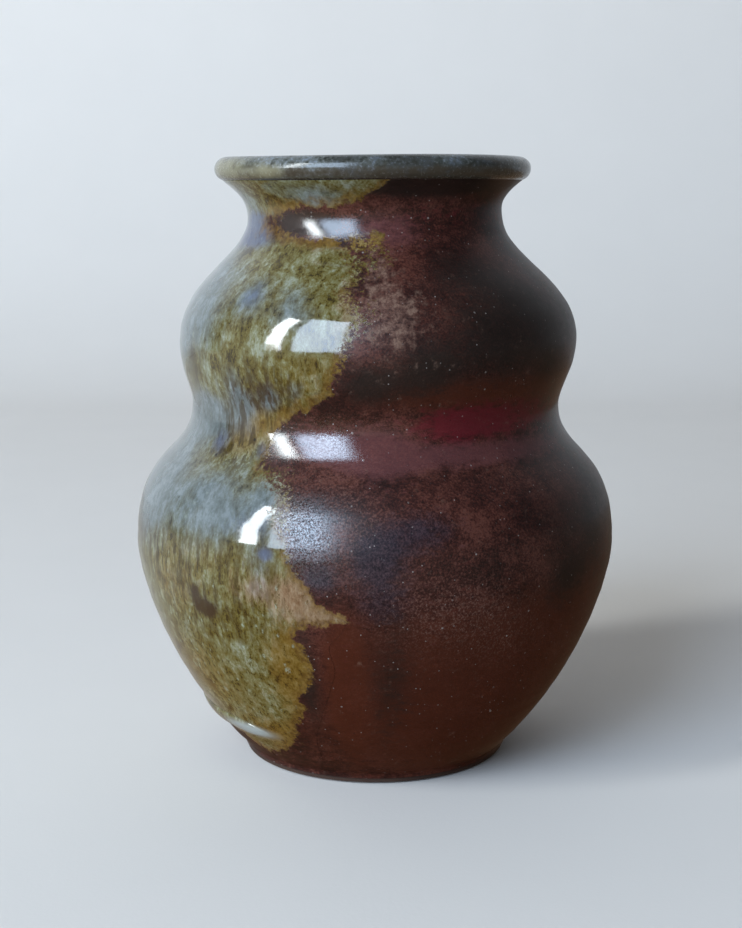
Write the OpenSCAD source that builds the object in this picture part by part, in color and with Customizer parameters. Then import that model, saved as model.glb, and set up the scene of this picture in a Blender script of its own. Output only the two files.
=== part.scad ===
// Double-bellied stoneware bud vase, thrown on the wheel, with fused slip and ash glaze coats.
// The origin is the centre of the foot, on the surface the vase stands on, and +Z is up.
// Angles round the vase are measured from its front (-Y), positive towards +X.

/* [Outline radii] */
// Radius of the foot collar
foot_r = 27; // [25:0.5:29]
// Largest radius of the lower belly
belly_r = 48.2; // [44:0.1:52]
// Smallest radius of the waist between the two bellies
waist_r = 36.8; // [34:0.1:38]
// Largest radius of the upper belly
shoulder_r = 39.6; // [39:0.1:42]
// Smallest radius of the neck
neck_r = 25.2; // [23:0.1:27]
// Radius at the tip of the flared lip
lip_r = 31.2; // [30:0.1:33]

/* [Outline heights] */
// Height of the upright foot collar
foot_h = 2; // [1.5:0.1:3]
// Height of the lower belly's widest ring
belly_z = 44; // [42:0.5:46]
// Height of the waist's narrowest ring
waist_z = 71.5; // [70:0.5:73]
// Height of the upper belly's widest ring
shoulder_z = 84; // [83:0.5:86]
// Height of the neck's narrowest ring
neck_z = 108.2; // [107:0.1:109]
// Height of the top of the lip
height = 119.6; // [118:0.1:121]

/* [Clay] */
// Thickness of the thrown wall
wall = 4; // [3:0.1:5]
// Height of the inside floor above the table
floor_z = 6; // [5:0.5:8]
// Width of the rolled lip, measured out from its crown to its tip
lip_reach = 2.4; // [2:0.1:3]
// Thickness of the rolled lip
lip_t = 4.6; // [4:0.1:5]
// Length of the straight throat inside the neck
throat_l = 4; // [3:0.5:5]
// Depth of the shallow hollow trimmed under the foot
recess_d = 0.8; // [0.4:0.1:1.2]
// Width of the ring that the vase stands on
foot_ring = 5; // [4:0.5:7]

/* [Coats] */
// Thickness of the iron slip over the whole outside
slip_t = 0.25; // [0.15:0.05:0.4]
// Thickness of the ash glaze that ran down one side
ash_t = 0.45; // [0.3:0.05:0.7]
// Thickness of the glaze round the lip
rim_t = 0.35; // [0.2:0.05:0.5]
// Thickness of the liner glaze inside
liner_t = 0.3; // [0.2:0.05:0.5]
// Height where the slip ends on the foot collar
slip_z = 1.2; // [1:0.1:1.4]
// Angle of the ash glaze's front edge
ash_front = -20; // [-40:1:-5]
// Angle of the ash glaze's back edge
ash_back = -150; // [-175:1:-120]

/* [Glaze roll] */
// Height of the lower edge of the roll where the ash glaze pooled
roll_z = 9.5; // [5:0.1:14]
// Height of the roll itself
roll_h = 3; // [2:0.1:4]
// How far the roll stands out from the wall
roll_t = 0.8; // [0.5:0.1:1.2]
// Angle of the roll's front end
roll_front = -33; // [-50:1:-25]
// Angle of the roll's back end
roll_back = -125; // [-140:1:-90]

/* [Hidden] */
$fn = 96;

steps = 14;         // points along each curved stretch
foot_round = 0.8;   // rounding of the foot's lower edge
crease_a = -70;     // where the neck meets the underside of the lip, on the lip's ellipse
mouth_a = 150;      // where the lip's crown turns down into the neck, on the same ellipse
floor_flat = 14;    // radius of the flat middle of the inside floor
ash_z = roll_z + roll_h;
inner_r = neck_r - slip_t - wall;

// Points of a cubic Bezier curve from a to d, with handles b and c, leaving out its last point
function bezier(a, b, c, d) = [for (i = [0 : steps - 1]) let (t = i / steps, u = 1 - t)
    u * u * u * a + 3 * u * u * t * b + 3 * u * t * t * c + t * t * t * d];

// A stretch between two rings where the wall is upright, such as from the belly to the waist.
// Both ends are [radius, height]; the shares are the handles' parts of the height between them.
function swell(low, high, low_share, high_share) = let (h = high.y - low.y)
    bezier(low, low + [0, low_share * h], high - [0, high_share * h], high);

// Unit vector square to the way from a to b, pointing to its right
function right_of(a, b) = let (way = (b - a) / norm(b - a)) [way.y, -way.x];

// The same line moved d to the right, with each of its stretches kept parallel
function moved(line, d) = let (last = len(line) - 1) [for (i = [0 : last]) let (
        before = right_of(line[max(i - 1, 0)], line[max(i, 1)]),
        after = right_of(line[min(i, last - 1)], line[min(i + 1, last)]))
    line[i] + d * (before + after) / (1 + before * after)];

// Helpers for lines: the part between two heights, the line without its ends, and the line reversed
function between(line, low, high) = [for (p = line) if (p.y >= low && p.y <= high) p];
function without_ends(line) = [for (i = [1 : len(line) - 2]) line[i]];
function reversed(line) = [for (i = [len(line) - 1 : -1 : 0]) line[i]];

// The lip's cross-section from its crease over its tip to the mouth, a depth d below its surface
function lip(d) = [for (i = [0 : steps]) let (a = crease_a + (mouth_a - crease_a) * i / steps)
    [lip_r - lip_reach, height - lip_t / 2] + [(lip_reach - d) * cos(a), (lip_t / 2 - d) * sin(a)]];

// Outside of the slipped wall, from the foot collar up to the crease under the lip
foot_top = [foot_r, foot_h];
belly = [belly_r, belly_z];
waist = [waist_r, waist_z];
shoulder = [shoulder_r, shoulder_z];
neck = [neck_r, neck_z];
crease = lip(0)[0];
outline = concat(
    [[foot_r, slip_z]],
    bezier(foot_top, foot_top + [16, 16], belly - [0, 5.7], belly),
    swell(belly, waist, 0.70, 0.40),
    swell(waist, shoulder, 0.27, 0.47),
    swell(shoulder, neck, 0.50, 0.33),
    bezier(neck, neck + [0, 2.5], crease - [4.1, 3.1], crease),
    [crease]);

// Outside of the clay under the slip, ending where the lip's own glaze starts
clay = concat([for (i = [0 : len(outline) - 2]) moved(outline, -slip_t)[i]], [lip(rim_t)[0]]);

// Inside of the clay, from the mouth down its throat and wall to the middle of the floor
mouth = lip(rim_t)[steps];
throat_low = [inner_r, neck_z];
throat_top = throat_low + [0, throat_l];
inner_belly = [belly_r - slip_t - wall, belly_z];
floor_edge = [floor_flat, floor_z];
inside = concat(
    bezier(mouth, mouth - [1.5, 2.2], throat_top + [0, 3], throat_top),
    [throat_top, throat_low],
    reversed(without_ends(moved(between(outline, belly_z, neck_z), -slip_t - wall))),
    bezier(inner_belly, inner_belly - [0, 13], floor_edge + [16, 0], floor_edge),
    [floor_edge, [0, floor_z]]);

// Turns a cross-section round the axis, between two angles measured from the front
module turned(section, front = 90, back = -270) {
    rotate_extrude(angle = front - back, start = 270 + back) polygon(section);
}

// A coat of glaze between two lines that run the same way
module coat(under, over, front = 90, back = -270) {
    turned(concat(under, reversed(over)), front, back);
}

// The thrown and fired clay: foot, floor, wall, neck and lip in one piece
module stoneware_body() {
    ring_in = foot_r - foot_round - foot_ring;
    round_c = [foot_r - slip_t - foot_round, foot_round];
    foot = concat(
        [[0, recess_d], [ring_in - recess_d, recess_d], [ring_in, 0]],
        [for (a = [-90 : 15 : 0]) round_c + foot_round * [cos(a), sin(a)]]);
    color("sienna")
        turned(concat(foot, clay, lip(rim_t), inside));
}

// Thin iron-rich slip, satin, fused to the whole outside from the foot to the lip
module iron_slip() {
    color([0.24, 0.12, 0.10])
        coat(clay, outline);
}

// The line along the slipped wall where the ash glaze and its roll lie, between two heights
function wall_line(low, high) = let (heights = [for (p = outline) [p.y, p.x]]) concat(
    [[lookup(low, heights), low]],
    between(outline, low + 0.01, high - 0.01),
    [[lookup(high, heights), high]]);

// Glossy ash glaze that ran down one side, lying on the slip
module ash_glaze() {
    run = wall_line(ash_z, crease.y);
    color([0.45, 0.45, 0.33])
        coat(run, moved(run, ash_t), ash_front, ash_back);
}

// Bead along the bottom of the run, where the ash glaze pooled before it froze
module glaze_roll() {
    seat = wall_line(roll_z, ash_z);
    low = seat[0];
    high = seat[len(seat) - 1];
    bulge = [for (i = [1 : steps - 1]) low + (high - low) * i / steps
        + right_of(low, high) * roll_t * sin(180 * i / steps)];
    color([0.52, 0.47, 0.28])
        coat(seat, bulge, roll_front, roll_back);
}

// Grey-green glaze round the rolled lip
module rim_glaze() {
    color([0.36, 0.38, 0.33])
        coat(lip(rim_t), lip(0));
}

// Clear glaze over the whole inside, which makes the vase hold water
module liner_glaze() {
    surface = moved(inside, liner_t);
    start = mouth + liner_t * [cos(mouth_a), sin(mouth_a)];
    color([0.42, 0.40, 0.32])
        coat(inside, concat([start], [for (i = [1 : len(surface) - 1]) surface[i]]));
}

stoneware_body();
iron_slip();
ash_glaze();
glaze_roll();
rim_glaze();
liner_glaze();
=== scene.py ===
# Looks of the stoneware bud vase: every coat is its own mesh, shaped by the CAD model's own cross-section.
# Lengths are in metres in the row frame. +Z is up and -Y is the front.
# A place on the wall is a turn, in degrees from the front and positive towards +X, and a height above the
# table in millimetres.
import math

import bpy
import numpy as np
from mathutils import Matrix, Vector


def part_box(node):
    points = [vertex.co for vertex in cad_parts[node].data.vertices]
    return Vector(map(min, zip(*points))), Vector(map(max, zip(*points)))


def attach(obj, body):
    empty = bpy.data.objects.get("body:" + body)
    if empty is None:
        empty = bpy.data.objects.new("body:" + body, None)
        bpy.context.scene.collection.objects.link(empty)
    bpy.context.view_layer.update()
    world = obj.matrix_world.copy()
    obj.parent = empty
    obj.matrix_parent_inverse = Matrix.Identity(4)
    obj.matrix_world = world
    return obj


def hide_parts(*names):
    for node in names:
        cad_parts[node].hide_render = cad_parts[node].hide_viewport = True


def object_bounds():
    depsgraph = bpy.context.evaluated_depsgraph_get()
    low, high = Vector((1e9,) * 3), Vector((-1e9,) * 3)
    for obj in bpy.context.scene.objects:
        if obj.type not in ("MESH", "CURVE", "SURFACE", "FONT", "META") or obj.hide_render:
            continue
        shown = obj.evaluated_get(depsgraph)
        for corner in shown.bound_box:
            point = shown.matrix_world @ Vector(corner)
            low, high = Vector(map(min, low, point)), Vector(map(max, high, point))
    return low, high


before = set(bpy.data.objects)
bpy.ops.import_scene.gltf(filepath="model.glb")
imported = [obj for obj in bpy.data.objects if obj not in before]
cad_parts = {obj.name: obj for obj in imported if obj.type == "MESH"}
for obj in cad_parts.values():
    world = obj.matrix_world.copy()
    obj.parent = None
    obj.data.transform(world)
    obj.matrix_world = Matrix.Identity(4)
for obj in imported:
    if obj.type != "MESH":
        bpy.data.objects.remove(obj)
cad_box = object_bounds()

MM = 0.001
LINE_CORNER = math.radians(35)   # a line that turns by more than this has a corner there
FACE_CORNER = math.radians(50)   # faces that meet at more than this have a sharp edge between them

# ---------------------------------------------------------------- reading the CAD model


def section(node):
    """A turned CAD node's cross-section: the (radius, height) rows along its mesh's seam, in order."""
    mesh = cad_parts[node].data
    beside = {}
    for edge in mesh.edges:
        ends = [mesh.vertices[i].co for i in edge.vertices]
        if all(abs(co.y) < 1e-7 and co.x > 0 for co in ends):
            a, b = [(round(co.x, 7), round(co.z, 7)) for co in ends]
            if a != b:
                beside.setdefault(a, set()).add(b)
                beside.setdefault(b, set()).add(a)
    start = next((k for k in beside if len(beside[k]) == 1), min(beside))
    line = [start]
    while True:
        onward = [k for k in beside[line[-1]] if k not in line[-2:]]
        if not onward or onward[0] == start:
            break
        line.append(onward[0])
    return np.array(line)


def curved(points, step):
    """Points about a step apart on a smooth curve through the given ones."""
    gaps = np.linalg.norm(np.diff(points, axis=0), axis=1)
    along = np.concatenate([[0], np.cumsum(gaps)])
    slope = np.diff(points, axis=0) / gaps[:, None]
    middle = (points[2:] - points[:-2]) / (along[2:] - along[:-2])[:, None]
    slope = np.concatenate([slope[:1], middle, slope[-1:]])
    wanted = np.linspace(0, along[-1], max(2, 1 + round(along[-1] / step)))
    i = np.clip(np.searchsorted(along, wanted, side="right") - 1, 0, len(gaps) - 1)
    h = gaps[i][:, None]
    t = ((wanted - along[i]) / gaps[i])[:, None]
    return (
        (2 * t**3 - 3 * t**2 + 1) * points[i]
        + (t**3 - 2 * t**2 + t) * h * slope[i]
        + (3 * t**2 - 2 * t**3) * points[i + 1]
        + (t**3 - t**2) * h * slope[i + 1]
    )


def refined(line, step, closed):
    """The line with points about a step apart, curved between its corners."""
    before = line - np.roll(line, 1, axis=0)
    after = np.roll(line, -1, axis=0) - line
    cross = before[:, 0] * after[:, 1] - before[:, 1] * after[:, 0]
    turning = np.abs(np.arctan2(cross, (before * after).sum(1)))
    corners = [i for i in range(len(line)) if turning[i] > LINE_CORNER]
    if closed:
        line = np.roll(line, -corners[0], axis=0)
        corners = [i - corners[0] for i in corners] + [len(line)]
        line = np.concatenate([line, line[:1]])
    else:
        corners = sorted({0, len(line) - 1, *corners})
    runs = [curved(line[a:b + 1], step)[:-1] for a, b in zip(corners, corners[1:])]
    return np.concatenate(runs if closed else runs + [line[-1:]])


slip_section = section("iron_slip")
lip_section = section("rim_glaze")
liner_section = section("liner_glaze")
clay_section = section("stoneware_body")

# The slip ends under the lip in a short slanting line. Its lower end is the crease between neck and lip.
top = slip_section[:, 1].max()
crease = min(slip_section[slip_section[:, 1] > top - 0.6 * MM], key=lambda p: p[1])


def outer_radius(height):
    """The slip's outer radius at each height, both in metres: the outermost crossing of its section."""
    closed = np.concatenate([slip_section, slip_section[:1]])
    low, high = closed[:-1], closed[1:]
    h = np.atleast_1d(height)[:, None]
    with np.errstate(divide="ignore", invalid="ignore"):
        t = (h - low[:, 1]) / (high[:, 1] - low[:, 1])
    crossing = np.where((t >= 0) & (t <= 1), low[:, 0] + t * (high[:, 0] - low[:, 0]), 0)
    return np.nanmax(crossing, axis=1)


# The outside of the slip, from the foot collar up to the crease: a smooth line of (radius, height) rows.
rough_heights = np.unique(np.round(slip_section[:, 1], 7))
rough_outline = np.stack([outer_radius(rough_heights), rough_heights], -1)
in_outer = [any(np.allclose(p, q, atol=2e-7) for q in slip_section) for p in rough_outline]
outline = curved(rough_outline[in_outer], 0.25 * MM)
outline = outline[outline[:, 1] <= crease[1]]

# ---------------------------------------------------------------- the wall's shape


def soft_step(x):
    """0 below 0, 1 above 1 and smooth between."""
    x = np.clip(x, 0, 1)
    return x * x * (3 - 2 * x)


def hump(x, middle, half_width):
    """1 at the middle, falling smoothly to 0 on both sides."""
    return np.exp(-((x - middle) / half_width) ** 2)


def places(points):
    """The turn in degrees, from -270 to 90, and the height in millimetres of each point."""
    turn = np.degrees(np.arctan2(points[..., 0], -points[..., 1]))
    return np.where(turn > 90, turn - 360, turn), points[..., 2] / MM


def thrown(points):
    """Points moved by the small amounts, in millimetres, that make the wall look thrown by hand."""
    turn, height = places(points)
    angle = np.radians(turn)
    radius = np.hypot(points[..., 0], points[..., 1]) / MM
    fine_rings = 0.010 * np.sin(height * 2.1 - angle + 0.6 * np.sin(height * 0.37))
    broad_rings = 0.022 * np.sin(height * 1.13 - angle + 1.2)
    raised_ring = 0.14 * hump(height, 65.5, 1.6) * soft_step((turn + 14) / 20)
    oval = 0.12 * np.sin(2 * angle + 0.8) + 0.05 * np.sin(3 * angle + 2.0)
    # The foot and the middle of the floor stay as they are.
    free = soft_step((height - 3) / 8) * soft_step((radius - 4) / 10)
    grow = 1 + free * (fine_rings + broad_rings + raised_ring + oval) / np.maximum(radius, 1)
    moved = points * np.stack([grow, grow, np.ones_like(grow)], -1)
    off_centre = 0.7 * hump(height, 88, 13) - 0.5 * soft_step((height - 106) / 8)
    moved[..., 0] += MM * off_centre
    lip_lift = 0.12 * np.sin(angle + 0.4) + 0.08 * np.sin(3 * angle)
    moved[..., 2] += MM * lip_lift * soft_step((height - 108) / 8)
    return moved


# ---------------------------------------------------------------- where the glaze ran

# Edge of the ash run as (turn, height) points: down its front, back along its foot and up its back.
FRONT_EDGE = [(10, 130), (9, 116), (2, 113), (-15, 110), (-13, 104), (-4, 99), (-9, 95), (-3, 91), (-8, 86),
              (-12, 79), (-11, 77.5), (-19, 74.5), (-25, 72.5), (-30, 69.5), (-31, 64), (-24, 62),
              (-20, 59), (-22, 56), (-20, 52.5), (-18, 49.5), (-16, 46), (-11.5, 41), (-4, 38.2), (-14, 37),
              (-18, 35), (-15, 29), (-15, 25), (-20, 22), (-18, 19), (-23, 15), (-25, 10)]
FOOT_EDGE = [(-34, 6), (-44, 4.5), (-55, 7.5), (-75, 10), (-100, 10), (-118, 9), (-130, 14)]
BACK_EDGE = [(-138, 24), (-150, 30), (-144, 40), (-155, 50), (-150, 60), (-138, 69), (-144, 80),
             (-156, 90), (-148, 100), (-158, 108), (-165, 116), (-166, 130)]
# Small islands of ash beyond the edge: turn, height and radius in millimetres.
ISLANDS = [(-7, 103.6, 1.8), (0, 104.2, 1.6), (-3, 100, 0.9), (5, 101, 0.6), (-160, 44, 1.6),
           (-166, 70, 1.0)]
# Bare ovals inside the run: turn, height, and half width and half height in millimetres.
BARE = [(-25, 107.3, 10.5, 2.9)]


def ripple(seed, waves, x, y, longest):
    """A smooth random field from -1 to 1, the sum of waves no longer than the given length."""
    rng = np.random.default_rng(seed)
    total = 0
    for _ in range(waves):
        length = longest * rng.uniform(0.3, 1)
        way = rng.uniform(0, 2 * math.pi)
        along = x * math.cos(way) + y * math.sin(way)
        total = total + np.sin(2 * math.pi * along / length + rng.uniform(0, 6.3))
    return total / waves


def cover(turn, height, radius):
    """How far each place is inside the edge of the ash run, in millimetres; negative outside it."""
    edge = np.array(FRONT_EDGE + FOOT_EDGE + BACK_EDGE, float)
    scale = np.radians(1) * radius / MM
    nearest = np.full(turn.shape, 1e9)
    inside = np.zeros(turn.shape, bool)
    for (t0, h0), (t1, h1) in zip(edge, np.roll(edge, -1, axis=0)):
        ax, ay = (t0 - turn) * scale, h0 - height
        bx, by = (t1 - t0) * scale, h1 - h0
        share = np.clip(-(ax * bx + ay * by) / (bx * bx + by * by), 0, 1)
        nearest = np.minimum(nearest, np.hypot(ax + share * bx, ay + share * by))
        if h0 != h1:
            crosses = (height > min(h0, h1)) & (height <= max(h0, h1))
            inside ^= crosses & (turn < t0 + (height - h0) * (t1 - t0) / (h1 - h0))
    depth = np.where(inside, nearest, -nearest)
    depth = depth + 0.7 * ripple(seed=5, waves=9, x=turn * scale, y=height, longest=9)
    for t, h, r in ISLANDS:
        depth = np.maximum(depth, r - np.hypot((turn - t) * scale, height - h))
    for t, h, wide, tall in BARE:
        depth = np.minimum(depth, tall * (np.hypot((turn - t) * scale / wide, (height - h) / tall) - 1))
    return depth


# Colour patches: turn, height, half width in degrees, half height in millimetres, and strength.
PATCHES = {
    # on the ash
    "milky": [
        (-80, 92, 30, 12, 1.2), (-40, 94, 6, 4, 0.5), (-43, 77, 5, 5, 0.5), (-31, 76, 4, 3, 0.9),
        (-24, 92, 9, 5, 0.6), (-40, 74.5, 5, 3.5, 0.5), (-22, 78, 3, 2, 0.5), (-76, 57, 26, 11, 1.2),
        (-38, 56, 11, 7, 0.7), (-26, 57, 5, 5, 0.6), (-24, 112, 22, 3, 0.6), (-62, 71, 18, 4, 1.1),
        (-115, 88, 22, 14, 0.8), (-110, 45, 16, 14, 0.7), (-80, 112, 24, 4, 0.5), (-25, 47, 5, 4, 0.4)],
    # pool: pale pooled glaze along the roll, partly painted highlight.
    "pool": [(-46, 10.3, 12, 1.5, 1.2), (-75, 11, 10, 1.2, 0.4), (-102, 11, 12, 1.2, 0.5)],
    "streaky": [
        (-33, 76, 17, 6.5, 1.5), (-42, 67, 9, 5, 1.3), (-60, 47, 30, 4, 0.6), (-40, 40, 22, 9, 1.0),
        (-110, 70, 30, 12, 0.8)],
    "violet": [
        (-64, 105.5, 20, 3.5, 1.4), (-24, 49.5, 2.2, 1.3, 0.9), (-28, 54, 8, 3, 0.5),
        (-40, 94, 6, 3, 0.5), (-50, 66.5, 5, 3, 0.7), (-33, 66, 3, 2, 0.6), (-26, 43, 4, 3, 0.4)],
    "amber": [
        (-20, 104, 18, 1.2, 0.9), (-42, 68, 8, 4, 0.4), (-19, 27, 7, 13, 1.0), (-28, 10, 14, 5, 0.9),
        (-14, 80, 11, 6, 0.45), (-52, 41, 14, 6, 0.5), (-34, 72, 16, 6, 0.6), (-55, 22, 24, 10, 0.5),
        (-40, 48, 20, 4, 0.3), (-4, 104, 9, 1.6, 1.2), (-135, 30, 14, 14, 0.8),
        (-145, 76, 10, 12, 0.8), (-38, 109.5, 12, 1.2, 0.8)],
    "tan": [
        (-15, 42, 7, 5, 1.0), (-8, 38.3, 6, 1.6, 1.2), (-8, 92, 5, 8, 0.5), (-21, 60, 5, 5, 0.5),
        (-27, 43, 8, 4, 0.5), (-150, 52, 8, 6, 0.8)],
    "soft": [(-3, 92, 10, 9, 1.1), (-4, 102, 8, 3, 0.9), (-23, 60, 9, 8, 1.0), (-152, 80, 12, 20, 0.8)],
    "bronze": [
        (-45, 106.5, 6, 2.5, 1.0), (-41, 37.6, 4.2, 2.0, 1.1), (-44, 40, 1.9, 2.6, 0.9),
        (-30, 104.3, 13, 1.0, 0.6), (-64, 80, 6, 6, 0.6), (-44, 69, 9, 2.5, 0.4),
        (-33, 77, 10, 4, 0.4), (-75, 48, 10, 3, 0.5), (-100, 70, 20, 4, 0.6)],
    "fleck": [
        (-45, 28, 34, 15, 1.0), (-28, 42, 12, 8, 0.7), (-80, 82, 20, 8, 0.8), (-120, 35, 30, 20, 0.6)],
    # on the slip
    "rust": [(4, 91, 7, 6, 0.9), (0, 99, 5, 4, 0.6), (150, 60, 20, 12, 0.5)],
    "char": [
        (45, 88, 32, 10, 1.0), (30, 99, 20, 5, 0.4), (-17, 26, 4, 14, 0.7), (4, 26, 7, 20, 0.55),
        (-2, 79, 9, 4, 0.9), (13, 81, 8, 5, 0.6), (48, 42, 10, 6, 0.7), (-30, 107.3, 17, 2.6, 1.3),
        # The first patch on the next line, at turn 24 and height 114 just under the lip, is painted shadow.
        (24, 114, 44, 2.2, 1.2), (62, 54, 24, 8, 0.7), (160, 95, 40, 12, 0.8), (120, 30, 30, 12, 0.5)],
    "copper": [
        (24, 71.3, 14, 3.4, 0.75), (46, 72, 26, 3.6, 0.65), (35, 109, 40, 3, 0.25),
        (120, 70, 35, 6, 0.5)],
    # plum: plum-brown slip; the band along the raised ring at height 66 and the patches at the front of the
    # waist are painted sheen.
    "plum": [
        (0, 67, 11, 5, 0.9), (32, 66, 42, 2.4, 0.9), (5, 106, 14, 4, 0.7), (-16, 69, 9, 3, 0.7),
        (100, 104, 30, 5, 0.5)],
    "ink": [
        (0, 49.5, 5, 4, 1.0), (2, 42, 8, 5, 0.6), (9, 54, 10, 4, 0.7), (-14, 55, 5, 5, 0.6),
        (-12, 46, 4, 3, 0.8), (140, 44, 14, 6, 0.5)],
    "warm": [
        (25, 14, 50, 15, 1.0), (10, 34, 30, 9, 0.5), (-7, 26, 4, 14, 0.7), (52, 30, 24, 16, 1.0),
        (30, 77, 40, 4, 0.9), (150, 16, 60, 14, 0.9)],
    "dust": [(18, 39, 15, 6, 0.9), (-8, 56, 9, 6, 0.7), (30, 33, 10, 5, 0.5)],
    "gloss": [
        (-20, 107, 26, 4, 1.2), (-15, 68, 26, 4, 1.2), (60, 75, 60, 8, 0.3), (150, 67, 60, 5, 0.5)],
    "sparkle": [
        (-18, 52, 10, 10, 1.3), (-13, 71.5, 9, 3, 0.8), (5, 66, 20, 4, 0.5), (20, 50, 30, 16, 0.3),
        (3, 90, 12, 9, 0.4), (150, 50, 50, 20, 0.4)],
    # on the lip
    # moss: dark mossy patches; the long low band at turn 28, height 116 is painted shade under the lip's
    # right side.
    "moss": [
        (12, 119, 10, 3, 1.0), (28, 116, 34, 1.5, 1.0), (45, 119, 14, 3, 0.8), (-10, 119, 8, 3, 0.7),
        (100, 118, 25, 4, 0.8), (170, 118, 20, 4, 0.8)],
    "straw": [(-66, 117, 20, 3, 1.0), (-38, 116.5, 8, 1.5, 0.8), (-150, 118, 25, 4, 0.7)],
}


def patch(name, turn, height):
    """How strongly a colour patch shows at each place, from 0 to 1."""
    total = np.zeros(turn.shape)
    for t, h, wide, tall, strength in PATCHES[name]:
        away = (turn - t + 180) % 360 - 180
        total += strength * hump(away, 0, wide) * hump(height, h, tall)
    return np.clip(total, 0, 1)


# ---------------------------------------------------------------- meshes


def sheet_faces(rows, columns, rows_close, columns_close):
    """Quads of a grid of points, which can close on itself either way."""
    r = np.arange(rows if rows_close else rows - 1)[:, None]
    c = np.arange(columns if columns_close else columns - 1)[None, :]
    r2, c2 = (r + 1) % rows, (c + 1) % columns
    corners = [r * columns + c, r * columns + c2, r2 * columns + c2, r2 * columns + c]
    return np.stack([np.broadcast_to(x, (r.size, c.size)) for x in corners], -1).reshape(-1, 4)


def piece(name, points, faces, node, material):
    """A visible piece that stands for a CAD node, with its places on the wall stored for its material."""
    flat = points.reshape(-1, 3)
    turn, height = places(flat)
    radius = np.interp(height * MM, outline[:, 1], outline[:, 0])
    mesh = bpy.data.meshes.new(name)
    mesh.from_pydata(thrown(flat).tolist(), [], [[int(i) for i in f] for f in faces])
    fields = {"cover": cover(turn, height, radius)}
    fields.update({patch_name: patch(patch_name, turn, height) for patch_name in PATCHES})
    for field, values in fields.items():
        mesh.attributes.new(field, "FLOAT", "POINT").data.foreach_set("value", values.astype(np.float32))
    mesh.update()
    if signed_volume(mesh) < 0:
        mesh.flip_normals()
    mesh.polygons.foreach_set("use_smooth", [True] * len(mesh.polygons))
    mesh.set_sharp_from_angle(angle=FACE_CORNER)
    made = bpy.data.objects.new(name, mesh)
    bpy.context.scene.collection.objects.link(made)
    mesh.materials.append(material)
    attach(made, "root")
    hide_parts(node)
    return made


def signed_volume(mesh):
    """The volume inside a closed mesh, negative if its faces look inward."""
    mesh.calc_loop_triangles()
    corners = np.zeros(len(mesh.loop_triangles) * 3, np.int32)
    mesh.loop_triangles.foreach_get("vertices", corners)
    co = np.zeros(len(mesh.vertices) * 3, np.float32)
    mesh.vertices.foreach_get("co", co)
    a, b, c = co.reshape(-1, 3)[corners.reshape(-1, 3)].transpose(1, 0, 2)
    return float((a * np.cross(b, c)).sum()) / 6


def turned(line, around):
    """Points of a line of (radius, height) rows turned all the way round, as rows x around x 3."""
    angle = np.linspace(0, 2 * math.pi, around, endpoint=False)
    radius, height = line[:, :1], line[:, 1:]
    return np.stack([radius * np.sin(angle), -radius * np.cos(angle), height + 0 * angle], -1)


def turned_piece(name, line, closed, step, around, node, material):
    """A piece turned from a cross-section. An open section starts and ends on the axis."""
    line = refined(line, step, closed)
    points = turned(line, around)
    faces = sheet_faces(len(line), around, closed, True)
    if not closed:
        ends = [np.array([[0, 0, line[0, 1]]]), np.array([[0, 0, line[-1, 1]]])]
        first, last = len(line) * around, (len(line) - 1) * around
        points = np.concatenate([points.reshape(-1, 3), *ends])
        ring = np.arange(around)
        fans = [[first, (i + 1) % around, i] for i in ring]
        fans += [[first + 1, last + i, last + (i + 1) % around] for i in ring]
        faces = faces.tolist() + fans
    return piece(name, points, faces, node, material)


def on_wall(turn, height, out):
    """Points a distance out from the slipped wall, square to it. All in metres, but turn in degrees."""
    radius = np.interp(height, outline[:, 1], outline[:, 0])
    slope = np.interp(height, outline[:, 1], np.gradient(outline[:, 0], outline[:, 1]))
    across = 1 / np.sqrt(1 + slope**2)
    radius, height = radius + out * across, height - out * slope * across
    angle = np.radians(turn)
    return np.stack([radius * np.sin(angle), -radius * np.cos(angle), height], -1)


def closed_skin(outer, inner):
    """Two matching grids of points joined into one closed skin: (points, faces)."""
    rows, columns = outer.shape[:2]
    ring = np.concatenate([outer, inner[:, ::-1]], axis=1)
    faces = sheet_faces(rows, 2 * columns, False, True).tolist()
    for row in (0, rows - 1):
        start = row * 2 * columns
        for c in range(columns - 1):
            far = 2 * columns - 1 - c
            faces.append([start + c, start + c + 1, start + far - 1, start + far][::1 if row else -1])
    return ring.reshape(-1, 3), faces


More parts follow.
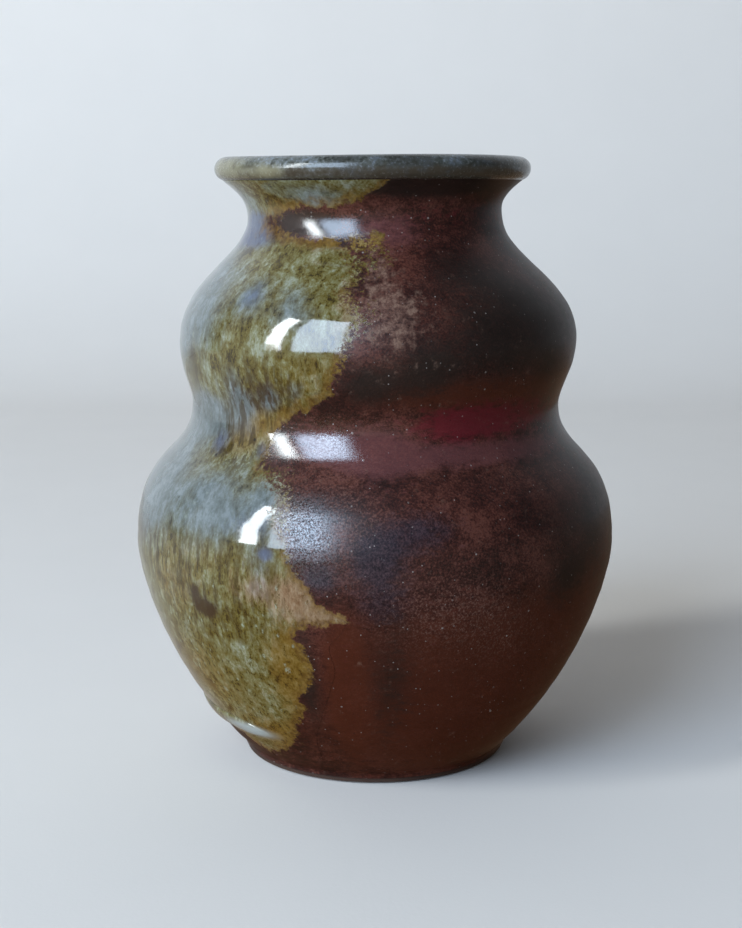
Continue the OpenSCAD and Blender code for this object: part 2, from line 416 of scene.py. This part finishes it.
def ash_run(material):
    """The ash glaze: a skin over the slip that follows the run's ragged edge and thins out to it."""
    rows, columns = 250, 190
    down = np.linspace(0, 1, rows)[:, None]
    back = np.linspace(0, 1, columns)[None, :]
    beyond = 6       # degrees that the skin reaches past the run's front and back edges
    below = 3        # millimetres that it reaches below the run's foot
    front_foot = 8   # the foot's height in front of its first point
    lowest = 2.2     # just above the top of the foot collar
    foot = np.array(FOOT_EDGE[::-1], float)
    rough_turn = -5 - 145 * back
    low = np.interp(rough_turn, foot[:, 0], foot[:, 1], right=front_foot) - below
    low = np.maximum(low, lowest)
    high = crease[1] / MM
    height = high + (low - high) * down
    levels = np.linspace(0, 130, 261)
    smoothed = 17    # how many of these levels an edge is averaged over, for columns that run smoothly
    weights = np.ones(smoothed) / smoothed
    limits = []
    for edge, margin in ((FRONT_EDGE, beyond), (BACK_EDGE[::-1], -beyond)):
        line = np.array(edge[::-1], float)
        turn = np.interp(levels, line[:, 1], line[:, 0])
        turn = np.convolve(np.pad(turn, smoothed // 2, mode="edge"), weights, mode="valid")
        limits.append(np.interp(height, levels, turn + margin))
    turn = limits[0] + (limits[1] - limits[0]) * back
    radius = np.interp(height * MM, outline[:, 1], outline[:, 0])
    depth = cover(turn, height, radius)
    across = turn * np.radians(1) * radius / MM
    runnels = ripple(seed=11, waves=12, x=across, y=height * 0.12, longest=4)
    thick = 0.05 + 0.06 * soft_step(depth / 5) * (1 + 0.15 * runnels)
    sunk = 0.08 + 0 * thick    # the inner side lies inside the slip, so that no gap shows at the edge
    over = on_wall(turn, height * MM, thick * MM)
    under = on_wall(turn, height * MM, -sunk * MM)
    points, faces = closed_skin(over, under)
    return piece("ash_glaze_run", points, faces, "ash_glaze", material)


def glaze_roll(material):
    """The rounded roll of pooled glaze along the foot of the run, fading out at both ends."""
    low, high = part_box("glaze_roll")
    front, back = -33, -125
    along = np.linspace(front, back, 180)[:, None]
    sag = -1.4 * hump(along, -30, 18) + 0.3 * np.sin(along / 9)
    middle = (low.z + high.z) / 2 + sag * MM
    fade = soft_step((front - along) / 14) * soft_step((along - back) / 25)
    around = np.linspace(0, math.pi, 22)[None, :]
    half_height = 1.5 * MM * (0.5 + 0.5 * fade)
    height = middle + half_height * np.cos(around)
    out = (0.02 + 0.75 * fade) * MM * np.sin(around) ** 0.8
    sunk = 0.1 * MM + 0 * out
    turn = along + 0 * around
    points, faces = closed_skin(on_wall(turn, height, out), on_wall(turn, height, -sunk))
    return piece("glaze_roll_pooled", points, faces, "glaze_roll", material)


# ---------------------------------------------------------------- materials


class Shader:
    """A node material under construction. Its methods add one node each and return its output."""

    def __init__(self, name):
        self.material = bpy.data.materials.new(name)
        self.material.use_nodes = True
        self.tree = self.material.node_tree
        self.surface = self.tree.nodes["Principled BSDF"]
        self.place = self.node("ShaderNodeTexCoord", "Object")

    def node(self, kind, output, inputs=(), **settings):
        made = self.tree.nodes.new(kind)
        for name, value in settings.items():
            setattr(made, name, value)
        for socket, value in dict(inputs).items():
            self.plug(made.inputs[socket], value)
        return made.outputs[output]

    def plug(self, socket, value):
        if isinstance(value, bpy.types.NodeSocket):
            self.tree.links.new(value, socket)
        elif isinstance(value, tuple) and len(value) == 3 and len(socket.default_value) == 4:
            socket.default_value = (*value, 1)
        else:
            socket.default_value = value

    def field(self, name):
        return self.node("ShaderNodeAttribute", "Fac", attribute_name=name)

    def in_mm(self, stretch=1.0, shift=0.0):
        """Places in millimetres; stretch makes whatever is looked up there longer up and down the wall."""
        return self.node("ShaderNodeMapping", "Vector", {
            "Vector": self.place, "Scale": (1 / MM, 1 / MM, 1 / MM / stretch), "Location": (shift,) * 3})

    def noise(self, per_mm, detail=3.0, stretch=1.0, distortion=0.0, roughness=0.55, shift=0.0):
        """Noise from 0 to 1 with about per_mm features a millimetre."""
        return self.node("ShaderNodeTexNoise", "Fac", {
            "Vector": self.in_mm(stretch, shift), "Scale": per_mm, "Detail": detail,
            "Roughness": roughness, "Distortion": distortion})

    def dots(self, per_mm, size, share, stretch=1.0):
        """Dots: about per_mm cells a millimetre, of the given size in cells, in a share of the cells."""
        cell = self.tree.nodes.new("ShaderNodeTexVoronoi")
        self.plug(cell.inputs["Vector"], self.in_mm(stretch))
        cell.inputs["Scale"].default_value = per_mm
        near = self.ramp(cell.outputs["Distance"], size, size * 0.4)
        chosen = self.node("ShaderNodeSeparateColor", "Red", {"Color": cell.outputs["Color"]})
        return self.times(near, self.ramp(chosen, 1 - share, 1.02 - share))

    def math(self, operation, *values):
        return self.node("ShaderNodeMath", "Value", dict(enumerate(values)), operation=operation)

    def times(self, a, b):
        return self.math("MULTIPLY", a, b)

    def sum(self, *terms):
        """The weighted sum of (weight, value) terms."""
        weight, value = terms[-1]
        total = self.times(value, weight)
        for weight, value in terms[:-1]:
            total = self.math("MULTIPLY_ADD", value, weight, total)
        return total

    def ramp(self, value, low, high, bottom=0.0, top=1.0):
        """Bottom at low, top at high and smooth between; high may be the smaller."""
        return self.node("ShaderNodeMapRange", "Result", {
            "Value": value, "From Min": low, "From Max": high, "To Min": bottom, "To Max": top},
            interpolation_type="SMOOTHSTEP")

    def gradient(self, value, *stops):
        """A colour for each value, blended between (value, colour) stops."""
        made = self.tree.nodes.new("ShaderNodeValToRGB")
        elements = made.color_ramp.elements
        elements[0].position, elements[1].position = stops[0][0], stops[-1][0]
        for at, _ in stops[1:-1]:
            elements.new(at)
        for element, (_, colour) in zip(elements, stops):
            element.color = (*colour, 1)
        self.plug(made.inputs["Fac"], value)
        return made.outputs["Color"]

    def mixed(self, share, a, b):
        """Colour a where share is 0 and b where it is 1."""
        return self.node("ShaderNodeMix", 2, {0: share, 6: a, 7: b}, data_type="RGBA")

    def blend(self, share, a, b):
        """Number a where share is 0 and b where it is 1."""
        return self.node("ShaderNodeMix", 0, {0: share, 2: a, 3: b})

    def patchy(self, name, noise, most=1.0, spread=1.2):
        """A colour patch's share, at most the given one, with its soft edge broken up by noise."""
        broken = self.math("MULTIPLY_ADD", noise, spread, self.field(name))
        return self.ramp(broken, 0.5 * spread + 0.15, 0.5 * spread + 0.85, 0.0, most)

    def finish(self, colour, roughness, height, shine=0.5):
        """Plugs in colour, roughness, height in millimetres and shine, the specular level."""
        self.plug(self.surface.inputs["Base Color"], colour)
        self.plug(self.surface.inputs["Roughness"], roughness)
        self.plug(self.surface.inputs["Specular IOR Level"], shine)
        bump = self.node("ShaderNodeBump", "Normal", {"Height": height, "Distance": MM, "Strength": 1.0})
        self.plug(self.surface.inputs["Normal"], bump)
        return self.material


def slip_look(s):
    """Colour, roughness, height and shine of the satin iron slip, with its flashes and crystals."""
    cloud = s.noise(0.1, detail=5, roughness=0.6)
    mottle = s.noise(0.45, detail=6, stretch=0.5, roughness=0.7, shift=31)
    grain = s.noise(2.4, detail=3, roughness=0.7, shift=7)
    ground = s.sum((0.35, cloud), (0.25, mottle), (0.4, grain))
    colour = s.gradient(
        ground, (0.42, (0.015, 0.005, 0.004)), (0.5, (0.039, 0.010, 0.007)), (0.58, (0.094, 0.030, 0.020)))
    colour = s.mixed(s.patchy("warm", mottle, 0.8), colour, (0.066, 0.014, 0.005))
    colour = s.mixed(s.patchy("copper", mottle, 0.85, 1.8), colour, (0.105, 0.004, 0.010))
    # Plum-brown slip, and painted sheen along the raised ring and at the front of the waist.
    colour = s.mixed(s.patchy("plum", mottle, 0.6), colour, (0.115, 0.038, 0.038))
    # Near-black slip, and painted shadow just under the lip on the right.
    colour = s.mixed(s.patchy("char", mottle, 0.85), colour, (0.013, 0.009, 0.007))
    blotch = s.noise(0.6, detail=5, roughness=0.65, shift=37)
    rust = s.gradient(
        s.sum((0.4, grain), (0.6, blotch)),
        (0.38, (0.035, 0.016, 0.012)), (0.5, (0.120, 0.060, 0.043)), (0.6, (0.200, 0.120, 0.085)))
    colour = s.mixed(s.patchy("rust", blotch, 0.8, 1.8), colour, rust)
    ink = s.gradient(grain, (0.38, (0.006, 0.005, 0.010)), (0.62, (0.036, 0.026, 0.036)))
    colour = s.mixed(s.patchy("ink", mottle, 0.75), colour, ink)
    dust = s.times(s.field("dust"), s.ramp(grain, 0.5, 0.65))
    colour = s.mixed(s.times(dust, 0.35), colour, (0.20, 0.13, 0.10))
    crystals = s.math("MAXIMUM", s.dots(0.5, 0.14, 0.12), s.dots(1.2, 0.2, 0.14))
    colour = s.mixed(s.times(crystals, s.ramp(mottle, 0.4, 0.6, 0.1, 0.8)), colour, (0.32, 0.28, 0.25))
    pits = s.dots(0.8, 0.16, 0.2)
    colour = s.mixed(s.times(pits, 0.5), colour, (0.006, 0.003, 0.003))
    gloss, sparkle = s.field("gloss"), s.field("sparkle")
    roughness = s.sum((0.2, mottle), (-0.3, gloss), (-0.16, sparkle), (0.32, 1.0))
    lines = s.noise(0.9, detail=2, stretch=0.06, shift=11)
    facets = s.noise(5.0, detail=2, roughness=0.6, shift=91)
    glitter = s.times(facets, s.sum((0.013, sparkle), (0.003, 1.0)))
    height = s.sum((0.008, grain), (1.0, glitter), (0.008, lines), (0.02, crystals), (-0.04, pits))
    grit = s.ramp(s.noise(3.2, detail=3, roughness=0.8, shift=97), 0.38, 0.64, -1.0, 1.2)
    shine = s.sum((0.5, gloss), (0.45, sparkle), (-0.15, s.field("warm")), (0.27, 1.0))
    shine = s.times(shine, s.math("MULTIPLY_ADD", s.times(grit, sparkle), 0.8, 1.0))
    return colour, s.math("MAXIMUM", roughness, 0.08), height, s.math("MAXIMUM", shine, 0.05)


def ash_look(s):
    """Colour, roughness, height and shine of the glossy ash glaze, where it hides the slip."""
    cloud = s.noise(0.12, detail=5, roughness=0.6, shift=21)
    blotch = s.noise(0.45, detail=4, stretch=1.3, distortion=0.6, roughness=0.6, shift=41)
    combed = s.noise(0.9, detail=6, stretch=3.0, distortion=0.2, roughness=0.66)
    fine = s.noise(2.6, detail=3, stretch=1.8, roughness=0.7, shift=13)
    ground = s.sum((0.25, cloud), (0.3, blotch), (0.25, combed), (0.2, fine))
    colour = s.gradient(
        ground, (0.41, (0.026, 0.017, 0.003)), (0.47, (0.095, 0.070, 0.014)),
        (0.53, (0.145, 0.132, 0.058)), (0.59, (0.235, 0.240, 0.165)))
    amber = s.gradient(
        ground, (0.4, (0.060, 0.026, 0.003)), (0.5, (0.145, 0.078, 0.011)), (0.6, (0.210, 0.130, 0.035)))
    colour = s.mixed(s.patchy("amber", combed, 0.85), colour, amber)
    tan = s.gradient(ground, (0.4, (0.160, 0.080, 0.038)), (0.6, (0.330, 0.225, 0.145)))
    colour = s.mixed(s.patchy("tan", combed, 0.85), colour, tan)
    veil = s.gradient(
        ground, (0.42, (0.080, 0.096, 0.094)), (0.5, (0.106, 0.128, 0.136)), (0.58, (0.155, 0.180, 0.196)))
    drift = s.sum((0.4, combed), (0.6, cloud))
    colour = s.mixed(s.patchy("milky", drift, 0.85), colour, veil)
    colour = s.mixed(s.patchy("violet", drift, 0.75), colour, (0.072, 0.088, 0.150))
    long_strokes = s.noise(0.85, detail=4, stretch=6, distortion=0.1, roughness=0.6, shift=17)
    streaks = s.times(s.ramp(long_strokes, 0.56, 0.42), s.field("streaky"))
    strokes = s.times(s.ramp(combed, 0.47, 0.36), s.ramp(fine, 0.58, 0.42))
    strokes = s.times(strokes, s.math("SUBTRACT", 0.9, s.field("milky")))
    colour = s.mixed(s.times(s.math("MAXIMUM", strokes, streaks), 0.75), colour, (0.032, 0.018, 0.003))
    flecks = s.math("MAXIMUM", s.dots(0.75, 0.3, 0.3, 1.6), s.dots(0.32, 0.26, 0.2, 1.3))
    flecks = s.times(flecks, s.ramp(fine, 0.42, 0.55))
    flecks = s.times(flecks, s.ramp(s.field("fleck"), 0, 1, 0.2, 0.7))
    colour = s.mixed(flecks, colour, (0.26, 0.29, 0.215))
    colour = s.mixed(s.patchy("bronze", combed, 0.9, 1.8), colour, (0.026, 0.012, 0.005))
    # Pale pooled glaze on the roll, partly painted highlight.
    colour = s.mixed(s.ramp(s.field("pool"), 0.1, 1.0), colour, (0.300, 0.320, 0.300))
    colour = s.mixed(s.dots(0.14, 0.07, 0.3), colour, (0.012, 0.008, 0.005))
    roughness = s.ramp(fine, 0.3, 0.7, 0.04, 0.12)
    height = s.sum((0.005, s.noise(0.25, detail=1, shift=51)), (0.002, fine))
    return colour, roughness, height, s.sum((-0.4, s.field("violet")), (0.75, 1.0))


def glazed_slip(name):
    """The slip with the ash over it where the run covers it: a feathered, amber edge between the two."""
    s = Shader(name)
    slip, ash = slip_look(s), ash_look(s)
    soft = s.field("soft")
    crumbs = s.times(s.noise(1.5, detail=5, roughness=0.75, shift=81), soft)
    teeth = s.noise(0.45, detail=8, roughness=0.7, shift=61)
    jagged = s.sum((6.0, teeth), (22.0, crumbs), (-11.0, soft), (-3.0, 1.0))
    depth = s.math("ADD", s.field("cover"), jagged)
    covered = s.ramp(depth, s.sum((-0.7, soft), (-0.2, 1.0)), s.sum((1.5, soft), (0.4, 1.0)))
    thin = s.ramp(depth, 2.4, 0.2)
    edge = s.gradient(
        s.noise(1.2, detail=4, shift=71), (0.4, (0.070, 0.032, 0.007)), (0.6, (0.150, 0.082, 0.018)))
    ash_colour = s.mixed(s.times(thin, 0.75), ash[0], edge)
    colour = s.mixed(covered, slip[0], ash_colour)
    numbers = [s.blend(covered, *pair) for pair in zip(slip[1:], ash[1:])]
    return s.finish(colour, *numbers)


def lip_glaze():
    """Grey-green glaze, brown where it is thin low on the lip, with mossy and straw-coloured patches,
    painted shade low on its right and painted shadow at its lower edge.
    """
    s = Shader("lip_glaze")
    cloud = s.noise(0.35, detail=6, roughness=0.65, shift=5)
    grain = s.noise(1.6, detail=4, roughness=0.6, shift=9)
    ground = s.sum((0.55, cloud), (0.45, grain))
    colour = s.gradient(
        ground, (0.40, (0.020, 0.022, 0.019)), (0.48, (0.070, 0.073, 0.063)),
        (0.55, (0.115, 0.121, 0.117)), (0.62, (0.150, 0.170, 0.195)))
    # Dark mossy patches, and painted shade low on the lip's right side.
    colour = s.mixed(s.patchy("moss", cloud, 0.7), colour, (0.024, 0.022, 0.018))
    height = s.node("ShaderNodeSeparateXYZ", "Z", {"Vector": s.in_mm()})
    low = s.ramp(s.sum((1.0, height), (7.0, cloud)), 122.0, 119.4)
    colour = s.mixed(s.times(low, 0.65), colour, (0.058, 0.044, 0.028))
    colour = s.mixed(s.patchy("straw", cloud, 0.8), colour, (0.200, 0.180, 0.110))
    # Painted shadow: near-black below a height of 115.6 mm, where the lip overhangs the neck.
    colour = s.mixed(s.ramp(height, 115.6, 115.0), colour, (0.008, 0.005, 0.004))
    roughness = s.ramp(grain, 0.3, 0.7, 0.1, 0.3)
    return s.finish(colour, roughness, s.sum((0.05, cloud), (0.01, grain)))


def liner():
    """Glossy brown-green glaze inside, with runs and small pinholes."""
    s = Shader("liner_glaze")
    streak = s.noise(0.5, detail=5, stretch=4, distortion=0.5)
    grain = s.noise(2.0, detail=3, shift=9)
    ground = s.sum((0.6, streak), (0.4, grain))
    colour = s.gradient(
        ground, (0.4, (0.03, 0.018, 0.008)), (0.5, (0.08, 0.062, 0.03)), (0.6, (0.14, 0.13, 0.075)))
    colour = s.mixed(s.dots(0.3, 0.08, 0.3), colour, (0.012, 0.008, 0.005))
    return s.finish(colour, s.ramp(grain, 0.3, 0.7, 0.06, 0.14), s.times(streak, 0.04))


def bare_clay():
    """Bare toasted stoneware with grog and fine turning lines, with painted shade darkening the outer edge
    of the foot.
    """
    s = Shader("bare_stoneware")
    cloud = s.noise(0.15, detail=5)
    grain = s.noise(2.5, detail=4, shift=4)
    flattened = s.in_mm(stretch=1e6)
    from_axis = s.node("ShaderNodeVectorMath", "Value", {0: flattened}, operation="LENGTH")
    rings = s.node("ShaderNodeTexWave", "Fac", {
        "Vector": s.node("ShaderNodeCombineXYZ", "Vector", {"X": from_axis}),
        "Scale": 0.55, "Distortion": 2.0, "Detail": 2.0})
    ground = s.sum((0.5, cloud), (0.3, grain), (0.2, rings))
    colour = s.gradient(
        ground, (0.35, (0.065, 0.028, 0.014)), (0.5, (0.120, 0.055, 0.028)), (0.65, (0.190, 0.100, 0.055)))
    colour = s.mixed(s.dots(0.7, 0.18, 0.25), colour, (0.020, 0.010, 0.007))
    # Painted shade: the clay darkens towards the outer edge of the foot.
    foot_edge_shade = s.ramp(s.math("MULTIPLY_ADD", cloud, 2.0, from_axis), 25.5, 27.0)
    colour = s.mixed(s.times(foot_edge_shade, 0.85), colour, (0.020, 0.008, 0.005))
    return s.finish(colour, s.ramp(grain, 0.3, 0.7, 0.7, 0.9), s.sum((0.05, rings), (0.06, grain)))


# ---------------------------------------------------------------- the pieces

turned_piece(
    "stoneware_wall", clay_section, False, 0.9 * MM, 240, "stoneware_body", bare_clay())
turned_piece(
    "liner_glaze_coat", liner_section, False, 0.9 * MM, 240, "liner_glaze", liner())
turned_piece(
    "iron_slip_coat", slip_section, True, 0.7 * MM, 260, "iron_slip", glazed_slip("iron_slip"))
turned_piece(
    "lip_glaze_ring", lip_section, True, 0.25 * MM, 360, "rim_glaze", lip_glaze())
ash_run(glazed_slip("ash_glaze"))
glaze_roll(glazed_slip("glaze_roll"))

# ---------------------------------------------------------------- the set: floor, backdrop, lights, camera


def plain(name, colour, roughness):
    """A matt set surface with a faint grain."""
    s = Shader(name)
    cloud = s.noise(0.02, detail=2)
    tint = s.mixed(cloud, colour, tuple(0.96 * c for c in colour))
    return s.finish(tint, roughness, s.times(s.noise(1.2, detail=2), 0.02))


def stage_sheet(name, width, side_line, colour):
    """A plain matt sheet of the set, as wide as given, along a line of (y, z) rows."""
    points = [(side * width / 2, y, z) for side in (-1, 1) for y, z in side_line]
    count = len(side_line)
    mesh = bpy.data.meshes.new(name)
    mesh.from_pydata(points, [], [[i, i + 1, count + i + 1, count + i] for i in range(count - 1)])
    mesh.polygons.foreach_set("use_smooth", [True] * len(mesh.polygons))
    made = bpy.data.objects.new(name, mesh)
    bpy.context.scene.collection.objects.link(made)
    mesh.materials.append(plain(name, colour, 0.9))
    return made


def window(name, turn, low, high, width, distance, radiance, colour):
    """An upright pane of soft light. Turn, low, high and width are in degrees, as the vase sees them."""
    lamp = bpy.data.lights.new(name, "AREA")
    lamp.shape = "RECTANGLE"
    bottom, top_edge = (distance * math.tan(math.radians(e)) for e in (low, high))
    lamp.size = 2 * distance * math.tan(math.radians(width / 2))
    lamp.size_y = top_edge - bottom
    lamp.energy = radiance * math.pi * lamp.size * lamp.size_y
    lamp.color = colour
    made = bpy.data.objects.new(name, lamp)
    angle = math.radians(turn)
    middle = (cad_box[0][2] + cad_box[1][2]) / 2 + (bottom + top_edge) / 2
    made.location = (distance * math.sin(angle), -distance * math.cos(angle), middle)
    made.rotation_euler = (math.pi / 2, 0, angle)
    bpy.context.scene.collection.objects.link(made)


# The floor lies just under the foot, so that no faces coincide, and the vase's gloss doesn't mirror it.
# Behind the vase the backdrop takes over from it, level at first and then bending up into a wall.
ground = -0.1 * MM
joint = 0.4
bend_start = 0.5
bend_radius = 0.25
pale = (0.76, 0.71, 0.66)
floor = stage_sheet("floor", 8.0, [(-4.0, ground), (joint, ground)], pale)
floor.visible_glossy = False
bend = [math.radians(a) for a in range(0, 91, 6)]
curve = [(bend_start + bend_radius * math.sin(a), ground + bend_radius * (1 - math.cos(a))) for a in bend]
stage_sheet("backdrop", 8.0, [(joint, ground)] + curve + [(bend_start + bend_radius, 1.8)], pale)

window("window_left_pane", -61, 7, 44, 10, 1.3, 21.5, (0.88, 0.96, 1.0))
window("window_right_pane", -34, 7, 48, 31, 1.3, 10, (0.60, 0.77, 1.0))


def dim_room():
    """The room the glaze mirrors: dark below, a paler band of table at the horizon, cool walls that are
    brighter on the window's side, and a pale wall behind on the left. The camera sees plain pale grey."""
    world = bpy.data.worlds.new("room")
    world.use_nodes = True
    tree = world.node_tree
    background = tree.nodes["Background"]

    def add(kind, source, sink="Value", **values):
        made = tree.nodes.new(kind)
        tree.links.new(source, made.inputs[sink])
        for name, value in values.items():
            made.inputs[name.replace("_", " ")].default_value = value
        return made

    way = tree.nodes.new("ShaderNodeTexCoord").outputs["Generated"]
    axes = add("ShaderNodeSeparateXYZ", way, "Vector")
    rise = add("ShaderNodeMapRange", axes.outputs["Z"], From_Min=-1)
    side = add("ShaderNodeMapRange", axes.outputs["X"], From_Min=-1, To_Min=1.6, To_Max=0.45)
    walls = add("ShaderNodeValToRGB", rise.outputs["Result"], "Fac")
    stops = walls.color_ramp.elements
    stops[-1].position = 0.57
    for at in (0.25, 0.45, 0.50):
        stops.new(at)
    colours = [
        (0.12, 0.06, 0.025), (0.20, 0.12, 0.065), (0.34, 0.26, 0.19), (0.46, 0.43, 0.39),
        (0.105, 0.115, 0.125)]
    for stop, colour in zip(stops, colours):
        stop.color = (*colour, 1)
    behind = add("ShaderNodeVectorMath", way, 0)
    behind.operation = "DOT_PRODUCT"
    behind.inputs[1].default_value = (-0.75, 0.66, 0)
    near_wall = add("ShaderNodeMapRange", behind.outputs["Value"], From_Min=0.3, From_Max=0.8)
    above_table = add("ShaderNodeMapRange", rise.outputs["Result"], From_Min=0.18, From_Max=0.34)
    wall_share = add("ShaderNodeMath", near_wall.outputs["Result"], 0)
    wall_share.operation = "MULTIPLY"
    tree.links.new(above_table.outputs["Result"], wall_share.inputs[1])
    room = add("ShaderNodeMix", walls.outputs["Color"], 6)
    room.data_type = "RGBA"
    room.inputs[7].default_value = (0.40, 0.41, 0.41, 1)
    tree.links.new(wall_share.outputs["Value"], room.inputs[0])
    lit = add("ShaderNodeVectorMath", room.outputs[2], 0)
    lit.operation = "SCALE"
    tree.links.new(side.outputs["Result"], lit.inputs["Scale"])
    seen = add("ShaderNodeMix", lit.outputs["Vector"], 6)
    seen.data_type = "RGBA"
    seen.inputs[7].default_value = (0.55, 0.57, 0.58, 1)
    tree.links.new(tree.nodes.new("ShaderNodeLightPath").outputs["Is Camera Ray"], seen.inputs[0])
    tree.links.new(seen.outputs[2], background.inputs["Color"])
    return world


bpy.context.scene.world = dim_room()

camera = bpy.data.objects.new("camera", bpy.data.cameras.new("camera"))
bpy.context.scene.collection.objects.link(camera)
camera.location = (0, -0.3207, 0.1145)
looks_down = 9.96
camera.rotation_euler = (math.radians(90 - looks_down), 0, 0)
camera.data.sensor_width = 36
camera.data.lens = 62.0
camera.data.shift_x = -0.0043
camera.data.clip_start = 0.01
bpy.context.scene.camera = camera
bpy.context.scene.view_settings.view_transform = "Standard"
